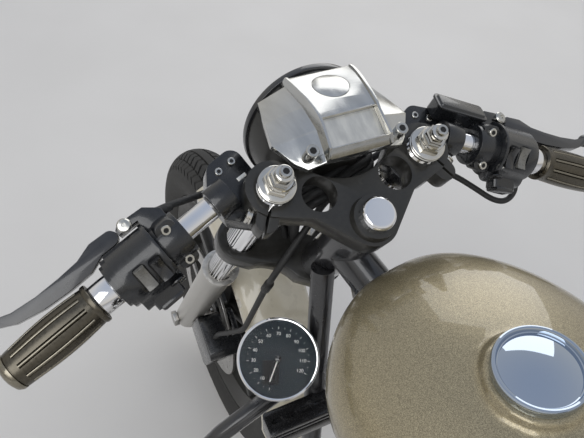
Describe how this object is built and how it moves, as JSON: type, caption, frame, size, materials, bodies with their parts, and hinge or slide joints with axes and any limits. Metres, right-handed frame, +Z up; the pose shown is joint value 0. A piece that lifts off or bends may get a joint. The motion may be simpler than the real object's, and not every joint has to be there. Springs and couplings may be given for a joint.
{
  "type": "cruiser motorcycle",
  "caption": "Cruiser motorcycle leaning on its side stand, with twin-cylinder engine, clip-on bars, polished headlamp cover, flaked tank, turned wheels and steering",
  "frame": {"origin": "centre of the bounding box at the floor that the parked motorcycle stands on", "axes": "+X forward along the motorcycle, +Y to the rider's left, the side it leans to, +Z up"},
  "size_m": [2.1919, 0.8132, 1.0707],
  "materials": {
    "tank_paint": "metal-flake gloss",
    "fender_paint": "gloss",
    "frame_paint": "gloss",
    "satin_black": "satin",
    "polished_aluminium": "polished",
    "brushed_aluminium": "brushed",
    "engine_black": "wrinkle",
    "chrome": "polished",
    "steel": "brushed",
    "tyre": "matte",
    "grip_rubber": "matte",
    "rubber": "matte",
    "black_plastic": "satin",
    "seat_leather": "grained",
    "lamp_glass": "clear",
    "red_lens": "gloss",
    "amber_lens": "gloss"
  },
  "bodies": {
    "chassis": {"frame_backbone": "frame_paint", "frame_left": "frame_paint", "frame_right": "frame_paint", "swingarm": "frame_paint", "rear_shocks": "chrome", "rear_caliper": "satin_black", "crankcase": "brushed_aluminium", "cylinders": "engine_black", "rocker_covers": "chrome", "primary_cover": "chrome", "gear_cover": "chrome", "pushrod_tubes": "chrome", "carburettor": "brushed_aluminium", "air_cleaner": "chrome", "exhausts": "chrome", "drive_belt": "rubber", "fuel_tank": "tank_paint", "fuel_cap": "chrome", "seat": "seat_leather", "rear_fender": "fender_paint", "tail_lamp": "red_lens", "rear_signals": "amber_lens", "side_covers": "satin_black", "foot_controls": "satin_black", "engine_guard": "frame_paint", "speedometer": "chrome", "speedometer_bracket": "satin_black", "voltage_regulator": "black_plastic", "stand_bracket": "frame_paint", "rear_axle": "steel"},
    "steering": {"top_clamp": "satin_black", "lower_clamp": "satin_black", "stem_cap": "chrome", "fork_tubes": "chrome", "fork_sliders": "brushed_aluminium", "fork_caps": "brushed_aluminium", "handlebars": "chrome", "clip_ons": "satin_black", "grips": "grip_rubber", "switch_housings": "black_plastic", "lever_perches": "satin_black", "levers": "frame_paint", "brake_master": "black_plastic", "headlamp_shell": "satin_black", "headlamp_ring": "frame_paint", "headlamp_lens": "lamp_glass", "headlamp_cover": "polished_aluminium", "front_axle": "steel", "front_fender": "fender_paint", "brake_caliper": "satin_black", "brake_hose": "rubber"},
    "front_wheel": {"front_tyre": "tyre", "front_wheel": "satin_black", "front_disc": "steel"},
    "rear_wheel": {"rear_tyre": "tyre", "rear_wheel": "satin_black", "rear_disc": "steel", "rear_pulley": "brushed_aluminium"},
    "side_stand": {"side_stand": "frame_paint"}
  },
  "joints": [
    {"name": "steering_turn", "type": "hinge", "parent": "chassis", "child": "steering", "pos_m": [0.33892, 0.02434, 0.96905], "axis": [-0.4855, 0.1368, 0.8635], "range_deg": [-23, 41]},
    {"name": "front_wheel_spin", "type": "hinge", "parent": "steering", "child": "front_wheel", "pos_m": [0.76761, -0.08653, 0.33011], "axis": [0.1369, 0.9874, -0.0795], "continuous": true},
    {"name": "rear_wheel_spin", "type": "hinge", "parent": "chassis", "child": "rear_wheel", "pos_m": [-0.74672, -0.07881, 0.31687], "axis": [0.0001, 0.9877, -0.1564], "continuous": true},
    {"name": "side_stand_fold", "type": "hinge", "parent": "chassis", "child": "side_stand", "pos_m": [-0.04657, 0.04472, 0.12576], "axis": [0.0975, 0.6205, 0.7781], "range_deg": [0, 89.47]}
  ]
}
